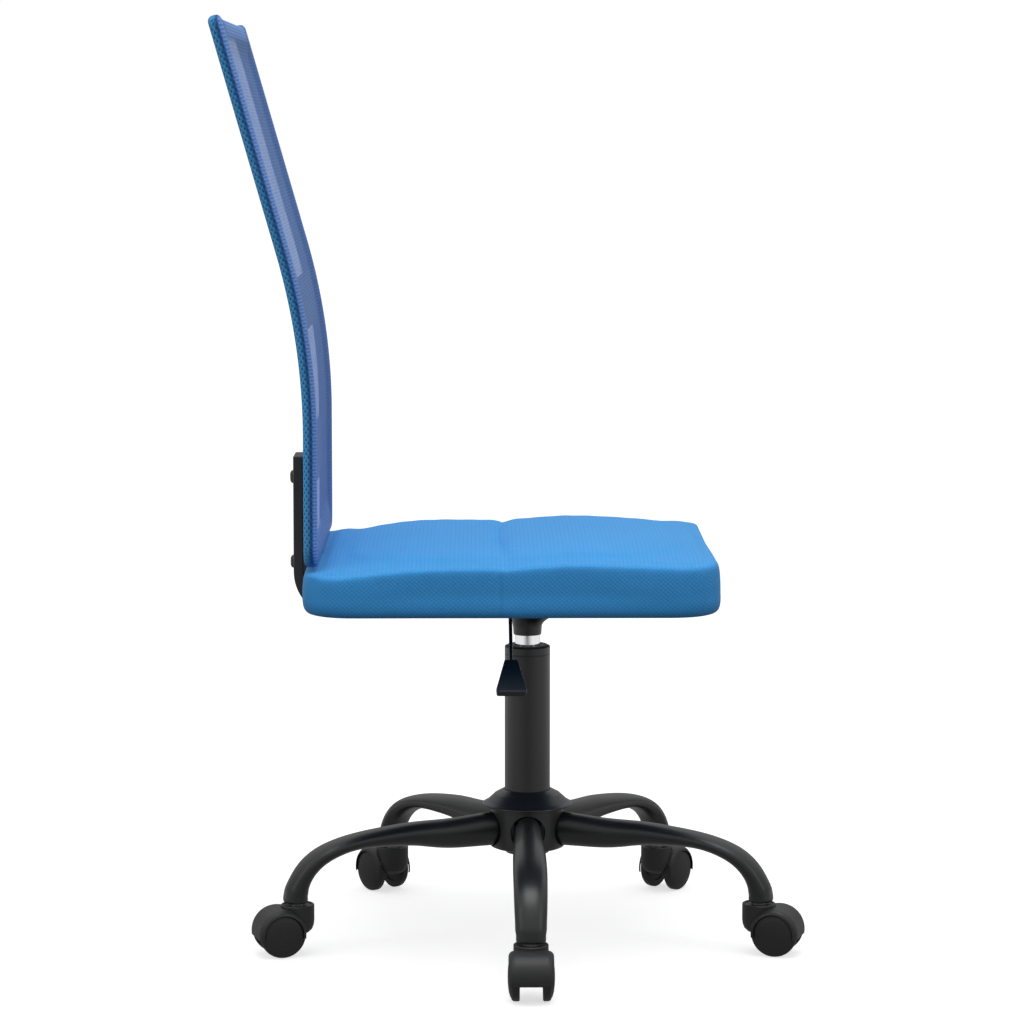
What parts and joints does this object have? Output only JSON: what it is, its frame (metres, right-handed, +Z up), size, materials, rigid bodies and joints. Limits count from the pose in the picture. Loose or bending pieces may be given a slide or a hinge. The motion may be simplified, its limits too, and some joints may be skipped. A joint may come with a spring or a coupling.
{
  "type": "swivel office chair",
  "caption": "Armless swivel task chair with a padded seat, mesh-sleeved tube back, lever-worked gas lift and a star base on twin-wheel casters.",
  "frame": {"origin": "on the floor, on the axis of the column", "axes": "+Z up, the chair faces -Y, X runs across the seat with the sitter's right at -X"},
  "size_m": [0.5721, 0.6325, 1.0054],
  "materials": {
    "black_steel": "satin black powder coat",
    "black_plastic": "moulded, fine texture",
    "hub_plastic": "moulded, slight gloss",
    "wheel_plastic": "moulded nylon",
    "handle_plastic": "moulded, smooth",
    "grey_plastic": "moulded end cap",
    "chrome": "polished",
    "steel": "zinc plated",
    "blue_fabric": "air-mesh polyester cloth",
    "blue_mesh": "open knitted mesh sleeve",
    "foam": "polyurethane foam",
    "plywood": "bare plywood",
    "black_cloth": "non-woven dust cloth"
  },
  "bodies": {
    "base": {"hub_sleeve": "black_steel", "hub_cover": "hub_plastic", "base_arm_right": "black_steel", "base_arm_front_right": "black_steel", "base_arm_front_left": "black_steel", "base_arm_rear_left": "black_steel", "base_arm_rear_right": "black_steel", "caster_sockets": "steel", "column_tube": "black_steel", "guide_bush": "black_plastic", "bearing_race": "steel"},
    "piston": {"piston_rod": "steel", "piston_head": "steel", "thrust_bearing": "steel", "retaining_clip": "steel"},
    "seat": {"gas_cylinder": "chrome", "taper_socket": "black_steel", "mechanism_tray": "black_steel", "mechanism_bolts": "steel", "tee_nuts": "steel", "seat_board": "plywood", "seat_foam": "foam", "seat_cover": "blue_fabric", "dust_cover": "black_cloth", "back_bar": "black_steel", "back_bar_cap": "grey_plastic", "back_bar_bolts": "black_steel", "mount_plate": "black_steel", "back_frame": "black_steel", "back_crossbars": "black_steel", "back_mesh_front": "blue_mesh", "back_mesh_rear": "blue_mesh"},
    "lever": {"lever_rod": "black_steel", "lever_handle": "handle_plastic"},
    "valve": {"valve_button": "steel"},
    "caster_right": {"caster_right_hood": "black_plastic", "caster_right_stem": "steel", "caster_right_axle": "steel"},
    "caster_right_wheel_a": {"caster_right_wheel_a": "wheel_plastic"},
    "caster_right_wheel_b": {"caster_right_wheel_b": "wheel_plastic"},
    "caster_front_right": {"caster_front_right_hood": "black_plastic", "caster_front_right_stem": "steel", "caster_front_right_axle": "steel"},
    "caster_front_right_wheel_a": {"caster_front_right_wheel_a": "wheel_plastic"},
    "caster_front_right_wheel_b": {"caster_front_right_wheel_b": "wheel_plastic"},
    "caster_front_left": {"caster_front_left_hood": "black_plastic", "caster_front_left_stem": "steel", "caster_front_left_axle": "steel"},
    "caster_front_left_wheel_a": {"caster_front_left_wheel_a": "wheel_plastic"},
    "caster_front_left_wheel_b": {"caster_front_left_wheel_b": "wheel_plastic"},
    "caster_rear_left": {"caster_rear_left_hood": "black_plastic", "caster_rear_left_stem": "steel", "caster_rear_left_axle": "steel"},
    "caster_rear_left_wheel_a": {"caster_rear_left_wheel_a": "wheel_plastic"},
    "caster_rear_left_wheel_b": {"caster_rear_left_wheel_b": "wheel_plastic"},
    "caster_rear_right": {"caster_rear_right_hood": "black_plastic", "caster_rear_right_stem": "steel", "caster_rear_right_axle": "steel"},
    "caster_rear_right_wheel_a": {"caster_rear_right_wheel_a": "wheel_plastic"},
    "caster_rear_right_wheel_b": {"caster_rear_right_wheel_b": "wheel_plastic"}
  },
  "joints": [
    {"name": "seat_swivel", "type": "hinge", "parent": "base", "child": "piston", "pos_m": [0, 0, 0.1], "axis": [0, 0, 1], "continuous": true},
    {"name": "seat_height", "type": "slide", "parent": "piston", "child": "seat", "axis": [0, 0, 1], "range_m": [0, 0.12]},
    {"name": "lever_lift", "type": "hinge", "parent": "seat", "child": "lever", "pos_m": [-0.024, 0.01, 0.3802], "axis": [0, 1, 0], "range_deg": [0, 8], "stiffness_Nm_per_rad": 1.6, "springref_deg": -6.88},
    {"name": "valve_press", "type": "slide", "parent": "seat", "child": "valve", "axis": [0, 0, -1], "range_m": [0, 0.0036], "stiffness_N_per_m": 150},
    {"name": "caster_right_swivel", "type": "hinge", "parent": "base", "child": "caster_right", "pos_m": [-0.263, 0, 0.05], "axis": [0, 0, 1], "continuous": true},
    {"name": "caster_right_roll_a", "type": "hinge", "parent": "caster_right", "child": "caster_right_wheel_a", "pos_m": [-0.2835, 0, 0.025], "axis": [0, -1, 0], "continuous": true},
    {"name": "caster_right_roll_b", "type": "hinge", "parent": "caster_right", "child": "caster_right_wheel_b", "pos_m": [-0.2835, 0, 0.025], "axis": [0, -1, 0], "continuous": true},
    {"name": "caster_front_right_swivel", "type": "hinge", "parent": "base", "child": "caster_front_right", "pos_m": [-0.08127, -0.25013, 0.05], "axis": [0, 0, 1], "continuous": true},
    {"name": "caster_front_right_roll_a", "type": "hinge", "parent": "caster_front_right", "child": "caster_front_right_wheel_a", "pos_m": [-0.08761, -0.26963, 0.025], "axis": [0.9511, -0.309, 0], "continuous": true},
    {"name": "caster_front_right_roll_b", "type": "hinge", "parent": "caster_front_right", "child": "caster_front_right_wheel_b", "pos_m": [-0.08761, -0.26963, 0.025], "axis": [0.9511, -0.309, 0], "continuous": true},
    {"name": "caster_front_left_swivel", "type": "hinge", "parent": "base", "child": "caster_front_left", "pos_m": [0.21277, -0.15459, 0.05], "axis": [0, 0, 1], "continuous": true},
    {"name": "caster_front_left_roll_a", "type": "hinge", "parent": "caster_front_left", "child": "caster_front_left_wheel_a", "pos_m": [0.22936, -0.16664, 0.025], "axis": [0.5878, 0.809, 0], "continuous": true},
    {"name": "caster_front_left_roll_b", "type": "hinge", "parent": "caster_front_left", "child": "caster_front_left_wheel_b", "pos_m": [0.22936, -0.16664, 0.025], "axis": [0.5878, 0.809, 0], "continuous": true},
    {"name": "caster_rear_left_swivel", "type": "hinge", "parent": "base", "child": "caster_rear_left", "pos_m": [0.21277, 0.15459, 0.05], "axis": [0, 0, 1], "continuous": true},
    {"name": "caster_rear_left_roll_a", "type": "hinge", "parent": "caster_rear_left", "child": "caster_rear_left_wheel_a", "pos_m": [0.22936, 0.16664, 0.025], "axis": [-0.5878, 0.809, 0], "continuous": true},
    {"name": "caster_rear_left_roll_b", "type": "hinge", "parent": "caster_rear_left", "child": "caster_rear_left_wheel_b", "pos_m": [0.22936, 0.16664, 0.025], "axis": [-0.5878, 0.809, 0], "continuous": true},
    {"name": "caster_rear_right_swivel", "type": "hinge", "parent": "base", "child": "caster_rear_right", "pos_m": [-0.08127, 0.25013, 0.05], "axis": [0, 0, 1], "continuous": true},
    {"name": "caster_rear_right_roll_a", "type": "hinge", "parent": "caster_rear_right", "child": "caster_rear_right_wheel_a", "pos_m": [-0.08761, 0.26963, 0.025], "axis": [-0.9511, -0.309, 0], "continuous": true},
    {"name": "caster_rear_right_roll_b", "type": "hinge", "parent": "caster_rear_right", "child": "caster_rear_right_wheel_b", "pos_m": [-0.08761, 0.26963, 0.025], "axis": [-0.9511, -0.309, 0], "continuous": true}
  ],
  "couplings": [
    {"joint": "valve_press", "follows": "lever_lift", "m_per_rad": 0.024}
  ]
}
